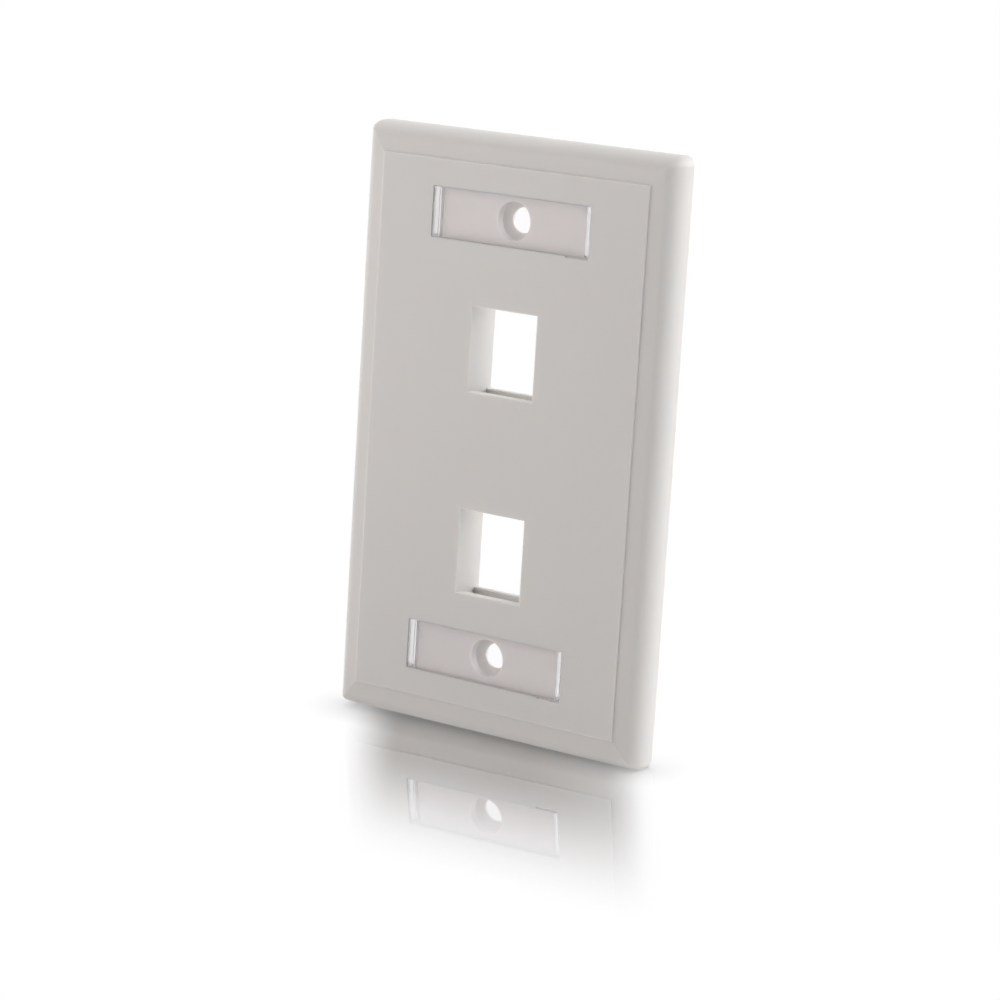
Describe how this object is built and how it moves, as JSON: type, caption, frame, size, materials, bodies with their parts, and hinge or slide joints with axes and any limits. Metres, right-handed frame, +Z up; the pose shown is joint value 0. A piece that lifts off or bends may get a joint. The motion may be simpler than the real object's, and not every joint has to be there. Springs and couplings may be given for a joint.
{
  "type": "keystone faceplate",
  "caption": "Single-gang wall faceplate with keystone ports, a rounded rim and clear snap-in label covers over its countersunk screw holes.",
  "frame": {"origin": "midway between the two screw holes, on the wall plane that the back of the skirt lies in", "axes": "+X to the right seen from the front, +Z up along the line of the screw holes, the face looks along -Y and +Y points into the wall"},
  "size_m": [0.0698, 0.0082, 0.1142],
  "materials": {
    "white_abs": "injection-moulded, satin",
    "clear_polycarbonate": "injection-moulded, clear and polished"
  },
  "bodies": {
    "plate": {"faceplate": "white_abs"},
    "upper_cover": {"upper_label_cover": "clear_polycarbonate"},
    "lower_cover": {"lower_label_cover": "clear_polycarbonate"}
  },
  "joints": [
    {"name": "upper_cover_pull", "type": "slide", "parent": "plate", "child": "upper_cover", "axis": [0, -1, 0], "range_m": [0, 0.006]},
    {"name": "lower_cover_pull", "type": "slide", "parent": "plate", "child": "lower_cover", "axis": [0, -1, 0], "range_m": [0, 0.006]}
  ]
}
